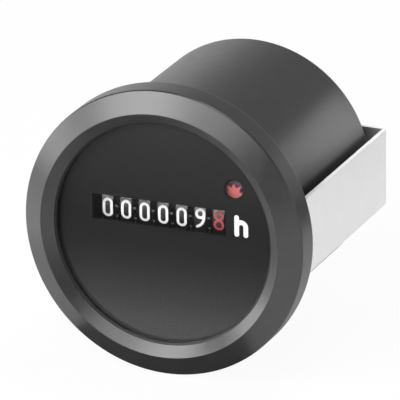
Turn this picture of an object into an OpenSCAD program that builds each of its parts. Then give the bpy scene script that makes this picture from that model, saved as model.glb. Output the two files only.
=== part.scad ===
// Round panel-mount hour meter with a seven-drum counter, a running indicator and a clamp bracket.
// Millimetres. Origin on the barrel's axis at the rear face of the bezel, where the panel sits:
// +Y runs back through the panel, +X to the right of someone reading the dial, +Z up.

/* [Barrel] */
// Outside diameter of the barrel that passes through the panel
barrel_d = 50.8; // [50:0.1:56]
// Length of the barrel behind the panel face
barrel_len = 43.4; // [40:0.1:60]
// Thickness of the barrel's wall
barrel_wall = 1.5; // [1.2:0.1:1.8]
// Thickness of the barrel's rear wall
rear_wall = 2; // [1.5:0.1:3]
// Rounding of the barrel's rear edge
rear_edge_r = 0.8; // [0.2:0.1:1.4]
// Step from the barrel down to the neck that carries the bezel
neck_step = 0.4; // [0.3:0.05:0.5]
// Height of the snap bead on the neck
snap_bead = 0.2; // [0.1:0.05:0.3]

/* [Bezel] */
// Width of the flange that stands out past the barrel
flange_w = 4.6; // [3.5:0.1:7]
// Depth of the straight rim
rim_depth = 5.7; // [5:0.1:7]
// Height of the crest in front of the rim
crest_rise = 2.3; // [1.5:0.1:3]
// Run of the cone from the crest in to the opening
inner_cone_run = 2.2; // [1.5:0.1:3]
// Fall of the cone from the crest in to the opening
inner_cone_fall = 1.7; // [1:0.1:2]
// Rounding of the bezel's outer edges
bezel_edge_r = 0.5; // [0.2:0.1:0.8]
// Rounding of the crest
crest_edge_r = 0.2; // [0.1:0.05:0.6]
// Width of the lip that holds the lens
lens_lip = 1.15; // [0.8:0.05:1.6]
// Depth of the lens behind the opening's edge
lens_drop = 0.8; // [0.4:0.1:1]

/* [Lens and dial] */
// Thickness of the lens
lens_t = 1.1; // [0.8:0.1:1.4]
// Thickness of the dial plate
dial_t = 0.8; // [0.5:0.1:1]
// Width of the land on the neck that carries the dial's edge
dial_land = 0.7; // [0.5:0.05:0.8]
// Width of the counter window
window_w = 28.8; // [27:0.1:32]
// Height of the counter window
window_h = 5.5; // [4.5:0.05:7]
// Sideways place of the counter window and of the row of drums behind it
window_x = -1.25; // [-2:0.05:0]
// Height of the window's middle above the barrel's axis
window_z = 3.49; // [2:0.01:4]
// Diameter of the indicator window
indicator_d = 4.2; // [3:0.1:5]

/* [Counter] */
// Diameter of a number drum
drum_d = 17.2; // [16.4:0.1:18]
// Width of a drum's number band
band_w = 2.4; // [2:0.05:2.6]
// Spacing of the number drums
wheel_pitch = 4.01; // [4:0.01:4.2]
// Thickness of a drum's rim
drum_rim = 0.9; // [0.6:0.1:1]
// Depth of the drums' front behind the back of the dial
drum_gap = 1.2; // [0.8:0.1:2]
// Drop of the drums' axis below the middle of the window
drum_drop = 0.63; // [0:0.01:1]
// Module of the counter's teeth
counter_module = 0.67; // [0.6:0.01:0.68]
// Width of the gear on a drum's side
gear_w = 0.75; // [0.6:0.05:0.8]
// Width of the transfer ring that stands out on a drum's other side
transfer_w = 0.5; // [0.4:0.05:0.6]
// Diameter of the number drums' shaft
number_shaft_d = 2; // [1.6:0.1:2.4]
// Diameter of the transfer pinions' shaft
pinion_shaft_d = 1.2; // [1:0.1:1.4]

/* [Worm drive] */
// Module of the worm wheel
worm_module = 0.5; // [0.46:0.01:0.54]
// Width of the worm wheel
worm_wheel_w = 1.4; // [1:0.1:1.6]
// Pitch diameter of the worm
worm_d = 3.4; // [3.2:0.1:3.8]
// Length of the worm
worm_len = 5; // [4:0.1:7]
// Diameter of the worm's shaft
worm_shaft_d = 1.5; // [1.2:0.1:1.6]
// Radius of the running indicator's points
indicator_r = 2.3; // [1.8:0.1:2.6]
// Module of the gear between motor and worm
drive_module = 0.42; // [0.4:0.01:0.48]
// Width of the drive gear
drive_gear_w = 1.2; // [0.8:0.1:1.6]

/* [Motor and circuit] */
// Diameter of the motor can
motor_d = 23; // [20:0.5:24]
// Gap between the motor can and the circuit board
motor_gap = 1; // [0.8:0.1:2]
// Thickness of the circuit board
board_t = 1.6; // [1:0.1:2]
// Room behind the circuit board
board_back = 3.9; // [3:0.1:5]
// Thickness of the frame's round plate
plate_t = 1.2; // [1:0.1:2]
// Thickness of the frame's cheeks
cheek_t = 1; // [0.8:0.1:1.4]

/* [Clamp] */
// Thickness of the bracket's strap
strap_t = 0.8; // [0.6:0.1:1.2]
// Width of the bracket's strap
strap_w = 16.2; // [12:0.1:20]
// Gap between the barrel and the bracket's legs
leg_gap = 1.2; // [0.85:0.05:1.5]
// Gap between the barrel's rear face and the bracket
bracket_gap = 3.2; // [3.2:0.1:8]
// Thickness of the panel that the bracket is set for
panel_t = 2.5; // [2.2:0.1:6]
// Diameter of the studs
stud_d = 4; // [3:0.5:5]
// Distance between the studs
stud_span = 22; // [20:0.5:26]
// Length of stud behind the bracket
stud_reach = 12; // [10:0.5:16]
// Diameter of the knurled nuts
nut_d = 9; // [8:0.5:12]
// Height of the knurled nuts
nut_h = 4.6; // [3:0.1:6]
// Thickness of the lock washers
washer_t = 0.8; // [0.5:0.1:1.2]

/* [Terminals] */
// Width of a blade terminal
blade_w = 6.3; // [4.8:0.1:6.3]
// Thickness of a blade terminal
blade_t = 0.8; // [0.5:0.1:1]
// Length of blade behind the barrel
blade_len = 9.5; // [8:0.1:12]
// Distance between the two blades
blade_span = 13; // [11:0.5:16]
// Drop of the blades below the barrel's axis
blade_drop = 15; // [14:0.1:16]

/* [Hidden] */
$fn = 96;
// Clearances
slip = 0.05;
fit = 0.1;
air = 0.4;
overlap = 0.01;

// Barrel, neck and bezel
barrel_r = barrel_d / 2;
bore_r = barrel_r - barrel_wall;
neck_r = barrel_r - neck_step;
bezel_r = barrel_r + flange_w;
lens_r = bore_r + dial_land;
opening_r = lens_r - lens_lip;
crest_r = opening_r + inner_cone_run;
crest_y = -rim_depth - crest_rise;
opening_y = crest_y + inner_cone_fall;
lens_y = opening_y + lens_drop;
dial_y = lens_y + lens_t;
neck_y = dial_y + dial_t;
rear_y = barrel_len;
floor_y = rear_y - rear_wall;
bead_y = neck_y / 2;
bead_half = 0.4;
mouth_depth = 0.3;
opening_edge_r = 0.15;

// Counter: drums are numbered from the right, the lowest figure first
drums = 7;
drum_r = drum_d / 2;
counter_y = neck_y + drum_gap + drum_r;
counter_z = window_z - drum_drop;
first_x = window_x + (drums - 1) / 2 * wheel_pitch;
drum_gear_teeth = 20;
pinion_teeth = 8;
tooth_share = 0.39;
root_share = 1.4;
tip_share = 0.5;
addendum = 0.95;
dedendum = 1.25;
gear_pitch_r = counter_module * drum_gear_teeth / 2;
pinion_pitch_r = counter_module * pinion_teeth / 2;
pinion_tip_r = pinion_pitch_r + addendum * counter_module;
pinion_reach = gear_pitch_r + pinion_pitch_r + fit;
pinion_slope = -36;
pinion_y = counter_y + pinion_reach * cos(pinion_slope);
pinion_z = counter_z + pinion_reach * sin(pinion_slope);
pinion_side_gap = 0.15;
pinion_w = wheel_pitch - band_w - 2 * pinion_side_gap;
lug_gap = 0.2;
lug_h = 0.6;
transfer_tip_r = pinion_reach - pinion_tip_r - lug_gap;
transfer_r = transfer_tip_r - lug_h;
transfer_wall = 0.9;
lug_w = 0.8;
lug_angle = 72;
hub_wall = 0.8;
hub_r = number_shaft_d / 2 + hub_wall;
hub_left = band_w / 2 + transfer_w;
hub_right = wheel_pitch - hub_left - slip;
web_t = 0.8;
drum_bore_r = number_shaft_d / 2 + slip;

// Worm drive above the right end of the drums
worm_wheel_teeth = 20;
worm_wheel_pitch_r = worm_module * worm_wheel_teeth / 2;
worm_wheel_gap = 1.8;
worm_wheel_x0 = first_x + band_w / 2 + worm_wheel_gap;
worm_x = worm_wheel_x0 + worm_wheel_w / 2;
worm_z = counter_z + worm_wheel_pitch_r + worm_d / 2 + fit;
worm_lead = PI * worm_module;
worm_depth = (addendum + dedendum) * worm_module;
worm_tip_r = worm_d / 2 + addendum * worm_module;
worm_root_r = worm_tip_r - worm_depth;
worm_shaft_r = worm_shaft_d / 2;
worm_facets = 20;
worm_steps = 12;
indicator_shift_x = 0.4;
indicator_shift_z = 1.35;
indicator_x = worm_x + indicator_shift_x;
indicator_z = worm_z + indicator_shift_z;
indicator_t = 0.6;
star_points = 8;
star_waist = 0.65;
star_turn = 10;
star_face_t = 0.2;
star_y = neck_y + air;
bush_flange_t = 0.3;
bush_flange_r = 2.3;
arm_y = star_y + indicator_t + air + bush_flange_t;
arm_t = 1;
arm_r = 1.7;
bush_wall = 0.5;
bush_r = worm_shaft_r + bush_wall;

// Frame: round plate behind the drums, with a cheek at each end
plate_y = pinion_y + pinion_tip_r + air;
plate_back = plate_y + plate_t;
plate_r = bore_r - air;
end_play = 0.3;
left_cheek_x = first_x - (drums - 1) * wheel_pitch - hub_left - end_play - cheek_t;
right_cheek_x = worm_x + worm_tip_r + air;
worm_wheel_end = right_cheek_x - end_play;
cheek_boss_r = 3.2;
cheek_root = 4.5;
shaft_stub = 0.6;
post_inset = 3.7;
post_ring_r = bore_r - post_inset;
post_angles = [120, 210, 330];
post_r = 2.2;
post_foot_r = 3;
screw_r = 1;
screw_head_r = 1.9;
screw_head_h = 1.3;
screw_len = 6;
motor_screw_len = 4.2;

// Circuit board on the posts' shoulders
board_back_y = floor_y - board_back;
board_y = board_back_y - board_t;
board_inset = 1.2;
board_r = bore_r - board_inset;

// Motor between the plate and the board, geared to the worm's shaft
drive_gear_teeth = 16;
motor_pinion_teeth = 8;
drive_gear_pitch_r = drive_module * drive_gear_teeth / 2;
drive_gear_tip_r = drive_gear_pitch_r + addendum * drive_module;
motor_pinion_pitch_r = drive_module * motor_pinion_teeth / 2;
drive_reach = drive_gear_pitch_r + motor_pinion_pitch_r + fit;
drive_slope = 213;
output_x = worm_x + drive_reach * cos(drive_slope);
output_z = worm_z + drive_reach * sin(drive_slope);
output_offset = 6;
motor_x = output_x + output_offset * cos(drive_slope);
motor_z = output_z + output_offset * sin(drive_slope);
motor_r = motor_d / 2;
drive_gear_y = plate_back + air;
motor_y = drive_gear_y + drive_gear_w + 2 * air;
motor_back = board_y - motor_gap;
ear_r = 2.4;
ear_reach = motor_r + ear_r;
ear_t = 1;
ear_slopes = [drive_slope + 60, drive_slope - 120];
output_shaft_r = 0.75;
motor_pin_r = 0.4;
motor_pin_span = 5;
motor_edge_r = 0.8;
output_bore_depth = 4;

// Pieces on the circuit board
solder_tail = 0.8;
crystal_at = [-12, 8.5];
crystal_w = 10.2;
crystal_t = 3.6;
crystal_h = 8;
crystal_foot = 0.5;
crystal_foot_w = 0.5;
chip_at = [-11, 0.5];
chip_size = [6, 1.6, 9];
capacitor_at = [-10, -8];
capacitor_r = 3.1;
capacitor_h = 8;

// Clamp
strap_y = rear_y + bracket_gap;
strap_back = strap_y + strap_t;
leg_x = barrel_r + leg_gap;
hole_gap = 0.3;
bend_r = 0.2;
leg_corner_r = 0.5;
stud_r = stud_d / 2;
stud_head_h = 1.5;
stud_edge = 0.5;
stud_head_r = stud_r + stud_head_h;
stud_boss_w = 2;
stud_boss_r = stud_r + stud_boss_w;
stud_boss_h = 0.8;
stud_end = strap_back + stud_reach;
nut_y = strap_back + washer_t;
washer_w = 1.8;
washer_slit = 0.5;
knurls = 28;
knurl_depth = 0.3;
nut_edge = 0.5;

// Terminals
collar_h = 1.4;
collar_wall = 1.2;
blade_hole_d = 1.7;
tail_w = 2.4;
tip_len = 1.5;
tip_cut = 1.2;
blade_hole_back = 3.6;
blade_end = rear_y + blade_len;

// Outlines

function polar(r, a) = [r * cos(a), r * sin(a)];
function unit(v) = v / norm(v);

// Corner b between a and c, rounded to radius r with n steps
function round_corner(a, b, c, r, n = 5) =
    let (u = unit(a - b), v = unit(c - b), half = acos(u * v) / 2)
    let (centre = b + unit(u + v) * r / sin(half), set_back = r / tan(half))
    let (from = b + u * set_back - centre, to = b + v * set_back - centre)
    [for (i = [0:n]) centre + r * unit(from * (n - i) + to * i)];

// Outline of [x, y, radius] corners
function rounded(corners) =
    let (n = len(corners), p = [for (c = corners) [c[0], c[1]]])
    [for (i = [0:n - 1]) each corners[i][2] > 0
        ? round_corner(p[(i + n - 1) % n], p[i], p[(i + 1) % n], corners[i][2])
        : [p[i]]];

// Toothed outline: each flank runs from root to pitch circle to tip
function gear_outline(teeth, m) =
    let (pitch_r = m * teeth / 2, half = 180 / teeth * tooth_share)
    let (root_r = pitch_r - dedendum * m, tip_r = pitch_r + addendum * m)
    [for (i = [0:teeth - 1], p = [[root_r, -root_share], [pitch_r, -1], [tip_r, -tip_share],
                                  [tip_r, tip_share], [pitch_r, 1], [root_r, root_share]])
        polar(p[0], 360 / teeth * i + half * p[1])];

// One turn of the worm seen along its axis: a single rounded thread
function thread_outline() =
    [for (i = [0:worm_facets - 1]) let (a = 360 / worm_facets * i)
        polar(worm_root_r + worm_depth * pow((1 + cos(a)) / 2, 2), a)];

// Placing

// Turns a shape drawn along Z to run back along Y
module along_y(x, y, z) translate([x, y, z]) rotate([-90, 0, 0]) children();
// Turns a shape drawn along Z to run right along X
module along_x(x, y, z) translate([x, y, z]) rotate([0, 90, 0]) children();
module rod_y(r, x, z, from, to) along_y(x, from, z) cylinder(r = r, h = to - from);
module rod_x(r, y, z, from, to) along_x(from, y, z) cylinder(r = r, h = to - from);
// Solid of revolution about the barrel's axis from [radius, y] points
module turned(points) along_y(0, 0, 0) rotate_extrude() polygon(points);
module slab(size, centre) translate(centre - size / 2) cube(size);
module at_studs() for (side = [-1, 1]) translate([side * stud_span / 2, 0, 0]) children();
module at_posts() for (a = post_angles) translate([post_ring_r * cos(a), 0, post_ring_r * sin(a)]) children();
module at_ears() for (a = ear_slopes)
    translate([motor_x + ear_reach * cos(a), 0, motor_z + ear_reach * sin(a)]) children();

// Case

module housing() color("#26272a") difference() {
    union() {
        turned(rounded([
            [bore_r, neck_y, 0], [neck_r, neck_y, 0],
            [neck_r, bead_y - bead_half, 0], [neck_r + snap_bead, bead_y, 0], [neck_r, bead_y + bead_half, 0],
            [neck_r, 0, 0], [barrel_r, 0, 0], [barrel_r, rear_y, rear_edge_r],
            [0, rear_y, 0], [0, floor_y, 0], [bore_r, floor_y, 0]]));
        at_posts() rod_y(post_r, 0, 0, plate_back, floor_y + overlap);
        at_posts() rod_y(post_foot_r, 0, 0, board_back_y, floor_y + overlap);
        at_studs() rod_y(stud_boss_r, 0, 0, rear_y - overlap, rear_y + stud_boss_h);
        for (side = [-1, 1])
            slab([blade_w + 2 * collar_wall, collar_h + overlap, blade_t + 2 * collar_wall],
                 [side * blade_span / 2, rear_y + (collar_h - overlap) / 2, -blade_drop]);
    }
    at_posts() rod_y(screw_r + slip, 0, 0, plate_back - overlap, plate_back + screw_len);
    at_studs() rod_y(stud_r + slip, 0, 0, floor_y - overlap, rear_y + stud_boss_h + overlap);
    for (side = [-1, 1])
        slab([blade_w + 2 * slip, rear_wall + collar_h + 1, blade_t + 2 * slip],
             [side * blade_span / 2, (floor_y + rear_y + collar_h) / 2, -blade_drop]);
}

module bezel() color("#2b2c2f") turned(rounded([
    [bezel_r, 0, bezel_edge_r], [bezel_r, -rim_depth, bezel_edge_r], [crest_r, crest_y, crest_edge_r],
    [opening_r, opening_y, opening_edge_r], [opening_r, lens_y, 0],
    [lens_r + fit, lens_y, 0], [lens_r + fit, neck_y, 0], [neck_r + slip, neck_y, 0],
    [neck_r + slip, bead_y - bead_half, 0], [neck_r + snap_bead + slip, bead_y, 0],
    [neck_r + slip, bead_y + bead_half, 0],
    [neck_r + slip, -mouth_depth, 0], [barrel_r + slip, -mouth_depth, 0], [barrel_r + slip, 0, 0]]));

module lens() color("#c8d2d6", 0.35) rod_y(lens_r, 0, 0, lens_y, dial_y);

module dial() color("#17181a") difference() {
    rod_y(lens_r, 0, 0, dial_y, neck_y);
    slab([window_w, dial_t + 1, window_h], [window_x, dial_y + dial_t / 2, window_z]);
    rod_y(indicator_d / 2, indicator_x, indicator_z, dial_y - overlap, neck_y + overlap);
}

// Clamp

// Folded strap seen from above: two legs and a back, with the bends' radii
module strap_outline() difference() {
    polygon(rounded([
        [-leg_x - strap_t, panel_t, 0], [leg_x + strap_t, panel_t, 0],
        [leg_x + strap_t, strap_back, bend_r + strap_t], [-leg_x - strap_t, strap_back, bend_r + strap_t]]));
    polygon(rounded([
        [-leg_x, panel_t - 1, 0], [leg_x, panel_t - 1, 0],
        [leg_x, strap_y, bend_r], [-leg_x, strap_y, bend_r]]));
}

module mounting_bracket() color("#d9dadb") difference() {
    intersection() {
        translate([0, 0, -strap_w / 2]) linear_extrude(strap_w) strap_outline();
        along_x(-bezel_r, 0, 0) linear_extrude(2 * bezel_r) polygon(rounded([
            [-strap_w / 2, panel_t, leg_corner_r], [strap_w / 2, panel_t, leg_corner_r],
            [strap_w / 2, strap_back + 1, 0], [-strap_w / 2, strap_back + 1, 0]]));
    }
    at_studs() rod_y(stud_r + hole_gap, 0, 0, strap_y - 1, strap_back + 1);
}

module mounting_studs() color("#c9cacc") at_studs() {
    rod_y(stud_r, 0, 0, floor_y - overlap, stud_end - stud_edge);
    along_y(0, stud_end - stud_edge - overlap, 0)
        cylinder(r1 = stud_r, r2 = stud_r - stud_edge, h = stud_edge + overlap);
    rod_y(stud_head_r, 0, 0, floor_y - stud_head_h, floor_y);
}

module lock_washers() color("#b9babd") at_studs() difference() {
    rod_y(stud_r + washer_w, 0, 0, strap_back, nut_y);
    rod_y(stud_r + fit, 0, 0, strap_back - 1, nut_y + 1);
    slab([washer_slit, washer_t + 1, stud_d], [0, strap_back + washer_t / 2, stud_r + 1]);
}

// Nut with a straight knurl and chamfered ends
module clamp_nuts() color("#cfa85a") at_studs() difference() {
    intersection() {
        along_y(0, nut_y, 0) linear_extrude(nut_h)
            polygon([for (i = [0:2 * knurls - 1]) polar(nut_d / 2 - knurl_depth * (i % 2), 180 / knurls * i)]);
        turned([
            [0, nut_y], [nut_d / 2 - nut_edge, nut_y], [nut_d / 2 + overlap, nut_y + nut_edge],
            [nut_d / 2 + overlap, nut_y + nut_h - nut_edge], [nut_d / 2 - nut_edge, nut_y + nut_h], [0, nut_y + nut_h]]);
    }
    rod_y(stud_r + slip, 0, 0, nut_y - 1, nut_y + nut_h + 1);
}

// Terminals

// Blade with a pointed end and a locking hole, and a tail through the circuit board
module terminal(side) color("#cdb98a") translate([side * blade_span / 2, 0, -blade_drop - blade_t / 2])
    difference() {
        linear_extrude(blade_t) polygon([
            [-blade_w / 2, board_back_y + fit], [-tail_w / 2, board_back_y + fit],
            [-tail_w / 2, board_y - solder_tail], [tail_w / 2, board_y - solder_tail],
            [tail_w / 2, board_back_y + fit], [blade_w / 2, board_back_y + fit],
            [blade_w / 2, blade_end - tip_len], [blade_w / 2 - tip_cut, blade_end],
            [-blade_w / 2 + tip_cut, blade_end], [-blade_w / 2, blade_end - tip_len]]);
        translate([0, blade_end - blade_hole_back, -1]) cylinder(d = blade_hole_d, h = blade_t + 2);
    }

// Counter

// Gear about an axis along X, from x on, turned from a tooth that points down
module counter_gear(teeth, m, w, x, y, z, turn)
    along_x(x, y, z) rotate([0, 0, turn]) linear_extrude(w) polygon(gear_outline(teeth, m));

// Drum with its number band, hub, tooth ring on the right and transfer ring on the left.
// The first drum carries the worm wheel in place of the tooth ring.
module number_wheel(i) {
    x = first_x - (i - 1) * wheel_pitch;
    left = x - band_w / 2;
    right = x + band_w / 2;
    hub_end = i == 1 ? worm_wheel_end : x + hub_right;
    color(i == 1 ? "#5b4443" : "#4b4c4e") difference() {
        union() {
            difference() {
                rod_x(drum_r, counter_y, counter_z, left, right);
                rod_x(drum_r - drum_rim, counter_y, counter_z, left - 1, right - web_t);
            }
            rod_x(hub_r, counter_y, counter_z, x - hub_left, hub_end);
            transfer_ring(left, right - web_t + overlap);
            if (i == 1)
                counter_gear(worm_wheel_teeth, worm_module, worm_wheel_w, worm_wheel_x0, counter_y, counter_z, -90);
            else
                counter_gear(drum_gear_teeth, counter_module, gear_w + overlap, right - overlap,
                             counter_y, counter_z, -90);
        }
        rod_x(drum_bore_r, counter_y, counter_z, left - wheel_pitch, hub_end + 1);
    }
}

// Ring inside a drum that stands out past its open side, with the two short teeth that carry to the next drum
module transfer_ring(left, web) {
    difference() {
        rod_x(transfer_r, counter_y, counter_z, left - transfer_w, web);
        rod_x(transfer_r - transfer_wall, counter_y, counter_z, left - transfer_w - 1, web + 1);
    }
    for (step = [-1, 1])
        along_x(left - transfer_w, counter_y, counter_z)
            rotate([0, 0, lug_angle + step * 180 / drum_gear_teeth])
            translate([transfer_r - transfer_wall / 2, -lug_w / 2, 0])
            cube([transfer_tip_r - transfer_r + transfer_wall / 2, lug_w, transfer_w]);
}

// Pinion between drum i and the next one up, with a tooth space towards the drums' axis
module transfer_pinion(i) {
    x = first_x - (i - 1) * wheel_pitch - band_w / 2 - pinion_side_gap - pinion_w;
    color("#d8d4c4") difference() {
        counter_gear(pinion_teeth, counter_module, pinion_w, x, pinion_y, pinion_z,
                     pinion_slope + 270 + 180 / pinion_teeth);
        rod_x(pinion_shaft_d / 2 + slip, pinion_y, pinion_z, x - 1, x + pinion_w + 1);
    }
}

module number_shaft() color("#b4b6b9")
    rod_x(number_shaft_d / 2, counter_y, counter_z, left_cheek_x - shaft_stub, right_cheek_x + cheek_t + shaft_stub);

module pinion_shaft() color("#b4b6b9")
    rod_x(pinion_shaft_d / 2, pinion_y, pinion_z, left_cheek_x - shaft_stub, right_cheek_x + cheek_t + shaft_stub);

// Frame

// Side outline of a cheek as [-z, y] corners: from the plate forward round the number shaft
function cheek_corners(top) = concat(
    [[-top, plate_y + overlap, 0]],
    top > worm_z ? [[-top, arm_y, 0], [arm_r - worm_z, arm_y, 0]] : [],
    [[-counter_z - cheek_boss_r, counter_y - cheek_boss_r, cheek_boss_r / 2],
     [-counter_z + cheek_boss_r, counter_y - cheek_boss_r, cheek_boss_r / 2],
     [-pinion_z + cheek_root, plate_y + overlap, 0]]);

module cheek(x, top) along_x(x, 0, 0) linear_extrude(cheek_t) polygon(rounded(cheek_corners(top)));

module counter_frame() color("#1f2022") difference() {
    union() {
        rod_y(plate_r, 0, 0, plate_y, plate_back);
        cheek(left_cheek_x, counter_z + cheek_root);
        cheek(right_cheek_x, worm_z + arm_r);
        along_y(worm_x, arm_y, worm_z) linear_extrude(arm_t) {
            circle(arm_r);
            translate([0, -arm_r]) square([right_cheek_x + overlap - worm_x, 2 * arm_r]);
        }
        at_ears() rod_y(ear_r, 0, 0, plate_back - overlap, motor_y);
    }
    rod_x(number_shaft_d / 2 + slip, counter_y, counter_z, left_cheek_x - 1, right_cheek_x + cheek_t + 1);
    rod_x(pinion_shaft_d / 2 + slip, pinion_y, pinion_z, left_cheek_x - 1, right_cheek_x + cheek_t + 1);
    rod_y(bush_r + slip, worm_x, worm_z, arm_y - 1, arm_y + arm_t + 1);
    rod_y(worm_shaft_r + slip, worm_x, worm_z, plate_y - 1, plate_back + 1);
    at_posts() rod_y(screw_r + slip, 0, 0, plate_y - 1, plate_back + 1);
    at_ears() rod_y(screw_r + slip, 0, 0, plate_y - 1, motor_y + 1);
}

module frame_screws() color("#b9babd") at_posts() {
    rod_y(screw_r, 0, 0, plate_y - overlap, plate_back + screw_len - air);
    rod_y(screw_head_r, 0, 0, plate_y - screw_head_h, plate_y);
}

// Worm drive

module worm_shaft() color("#b4b6b9")
    rod_y(worm_shaft_r, worm_x, worm_z, star_y + star_face_t, drive_gear_y + drive_gear_w + air / 2);

// Single thread wound along the shaft, with a thread space over the top of the worm wheel
module drive_worm() color("#c7a24e") difference() {
    along_y(worm_x, counter_y - worm_len / 2, worm_z)
        linear_extrude(worm_len, twist = -360 * worm_len / worm_lead,
                       slices = round(worm_len / worm_lead * worm_steps), $fn = worm_facets)
        rotate(-90 - 180 * worm_len / worm_lead) polygon(thread_outline());
    rod_y(worm_shaft_r + slip, worm_x, worm_z, counter_y - worm_len, counter_y + worm_len);
}

module drive_gear() color("#e2ddcc") difference() {
    along_y(worm_x, drive_gear_y, worm_z) rotate([0, 0, -drive_slope]) linear_extrude(drive_gear_w)
        polygon(gear_outline(drive_gear_teeth, drive_module));
    rod_y(worm_shaft_r + slip, worm_x, worm_z, drive_gear_y - 1, drive_gear_y + drive_gear_w + 1);
}

// Star that turns behind the small window while the meter runs, blind-bored from the back for the shaft
module running_indicator() color("#d94a4a") difference() {
    along_y(worm_x, star_y, worm_z) linear_extrude(indicator_t)
        polygon([for (i = [0:2 * star_points - 1])
            polar(indicator_r * (i % 2 == 0 ? 1 : star_waist), 180 / star_points * i + star_turn)]);
    rod_y(worm_shaft_r + slip, worm_x, worm_z, star_y + star_face_t, star_y + indicator_t + 1);
}

module front_bush() color("#8f9192") difference() {
    union() {
        rod_y(bush_flange_r, worm_x, worm_z, arm_y - bush_flange_t, arm_y);
        rod_y(bush_r, worm_x, worm_z, arm_y - overlap, arm_y + arm_t);
    }
    rod_y(worm_shaft_r + slip, worm_x, worm_z, arm_y - 1, arm_y + arm_t + 1);
}

// Motor and circuit

module drive_motor() color("#9a9c9f") difference() {
    union() {
        translate([motor_x, 0, motor_z]) turned(rounded([
            [0, motor_y, 0], [motor_r, motor_y, motor_edge_r],
            [motor_r, motor_back, motor_edge_r], [0, motor_back, 0]]));
        along_y(motor_x, motor_y, motor_z) linear_extrude(ear_t) for (a = ear_slopes) rotate(-a) {
            translate([0, -ear_r]) square([ear_reach, 2 * ear_r]);
            translate([ear_reach, 0]) circle(ear_r);
        }
        for (side = [-1, 1])
            rod_y(motor_pin_r, motor_x + side * motor_pin_span / 2, motor_z,
                  motor_back - overlap, board_back_y + solder_tail);
    }
    rod_y(output_shaft_r + slip, output_x, output_z, motor_y - 1, motor_y + output_bore_depth);
    at_ears() rod_y(screw_r + slip, 0, 0, motor_y - 1, motor_y + ear_t + 1);
}

module motor_pinion() color("#d9c07a") {
    along_y(output_x, drive_gear_y, output_z)
        rotate([0, 0, -drive_slope - 180 + 180 / motor_pinion_teeth]) linear_extrude(drive_gear_w)
        polygon(gear_outline(motor_pinion_teeth, drive_module));
    rod_y(output_shaft_r, output_x, output_z, drive_gear_y, motor_y + output_bore_depth - air);
}

module motor_screws() color("#b9babd") at_ears() {
    rod_y(screw_r, 0, 0, motor_y + ear_t - motor_screw_len, motor_y + ear_t + overlap);
    rod_y(screw_head_r, 0, 0, motor_y + ear_t, motor_y + ear_t + screw_head_h);
}

module circuit_board() color("#2f6b43") difference() {
    rod_y(board_r, 0, 0, board_y, board_back_y);
    at_posts() rod_y(post_r + fit, 0, 0, board_y - 1, board_back_y + 1);
    for (side = [-1, 1]) {
        rod_y(motor_pin_r + fit, motor_x + side * motor_pin_span / 2, motor_z, board_y - 1, board_back_y + 1);
        slab([tail_w + 2 * fit, board_t + 2, blade_t + 2 * fit],
             [side * blade_span / 2, board_y + board_t / 2, -blade_drop]);
    }
}

// Flat metal can with round ends on a wider foot
module quartz_crystal() color("#c4c6c8") along_y(crystal_at[0], board_y, crystal_at[1]) mirror([0, 0, 1]) {
    linear_extrude(crystal_h) flat_oval(crystal_w, crystal_t);
    linear_extrude(crystal_foot) flat_oval(crystal_w + 2 * crystal_foot_w, crystal_t + 2 * crystal_foot_w);
}

module flat_oval(w, t) {
    square([w - t, t], center = true);
    for (side = [-1, 1]) translate([side * (w - t) / 2, 0]) circle(d = t);
}

module driver_chip() color("#232427")
    slab(chip_size, [chip_at[0], board_y - chip_size[1] / 2, chip_at[1]]);

module smoothing_capacitor() color("#2d3a6b")
    rod_y(capacitor_r, capacitor_at[0], capacitor_at[1], board_y - capacitor_h, board_y);

housing();
bezel();
lens();
dial();
mounting_bracket();
mounting_studs();
lock_washers();
clamp_nuts();
terminal(-1);  // terminal_left
terminal(1);  // terminal_right
counter_frame();
frame_screws();
number_shaft();
number_wheel(1);  // number_wheel_1
number_wheel(2);  // number_wheel_2
number_wheel(3);  // number_wheel_3
number_wheel(4);  // number_wheel_4
number_wheel(5);  // number_wheel_5
number_wheel(6);  // number_wheel_6
number_wheel(7);  // number_wheel_7
pinion_shaft();
transfer_pinion(1);  // transfer_pinion_1
transfer_pinion(2);  // transfer_pinion_2
transfer_pinion(3);  // transfer_pinion_3
transfer_pinion(4);  // transfer_pinion_4
transfer_pinion(5);  // transfer_pinion_5
transfer_pinion(6);  // transfer_pinion_6
worm_shaft();
drive_worm();
drive_gear();
running_indicator();
front_bush();
drive_motor();
motor_pinion();
motor_screws();
circuit_board();
quartz_crystal();
driver_chip();
smoothing_capacitor();
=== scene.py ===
import math
import bmesh
import bpy
from mathutils import Matrix, Quaternion, Vector


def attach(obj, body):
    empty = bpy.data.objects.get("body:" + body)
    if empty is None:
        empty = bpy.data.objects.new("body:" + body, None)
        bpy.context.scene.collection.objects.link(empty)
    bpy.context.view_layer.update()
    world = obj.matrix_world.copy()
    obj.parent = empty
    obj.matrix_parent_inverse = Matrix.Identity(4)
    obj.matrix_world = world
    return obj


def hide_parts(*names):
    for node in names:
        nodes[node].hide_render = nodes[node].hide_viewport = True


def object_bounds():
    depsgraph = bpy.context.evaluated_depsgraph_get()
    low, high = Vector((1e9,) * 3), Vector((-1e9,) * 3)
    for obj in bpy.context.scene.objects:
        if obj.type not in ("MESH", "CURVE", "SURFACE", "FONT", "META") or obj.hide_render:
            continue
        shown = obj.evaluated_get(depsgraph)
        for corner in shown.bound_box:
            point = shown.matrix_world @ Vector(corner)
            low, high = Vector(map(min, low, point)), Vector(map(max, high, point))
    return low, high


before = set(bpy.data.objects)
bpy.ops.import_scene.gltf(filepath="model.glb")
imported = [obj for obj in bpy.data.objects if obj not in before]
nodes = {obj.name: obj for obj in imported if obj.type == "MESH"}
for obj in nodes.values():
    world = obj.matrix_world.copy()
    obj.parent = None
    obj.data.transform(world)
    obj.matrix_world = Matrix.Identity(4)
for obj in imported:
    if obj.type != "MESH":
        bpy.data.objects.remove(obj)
cad_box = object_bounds()

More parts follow.
